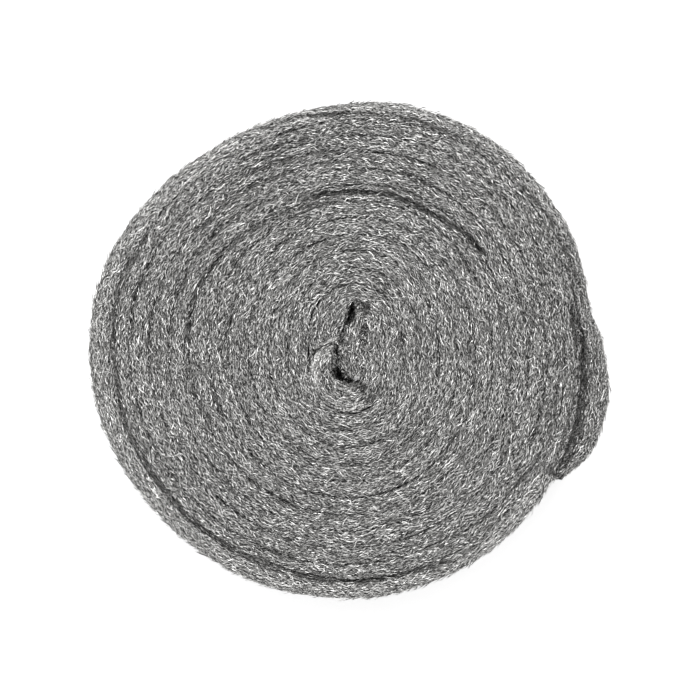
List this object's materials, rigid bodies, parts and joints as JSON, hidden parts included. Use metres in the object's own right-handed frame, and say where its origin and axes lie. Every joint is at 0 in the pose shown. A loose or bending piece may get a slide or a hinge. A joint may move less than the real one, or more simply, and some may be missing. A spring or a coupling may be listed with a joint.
{
  "type": "steel wool roll",
  "caption": "Roll of pressed steel wool ribbon for scouring and polishing metal and wood, standing on its flat end.",
  "frame": {"origin": "middle of the roll's footprint, on the end face that it rests on", "axes": "+Z along the winding axis, from the lower end face to the upper one; +X towards the side with the ribbon's loose end"},
  "size_m": [0.1722, 0.1642, 0.1021],
  "materials": {
    "steel_wool": "matted fine steel fibres, dull grey with small glints"
  },
  "bodies": {
    "root": {"steel_wool_roll": "steel_wool"}
  },
  "joints": []
}
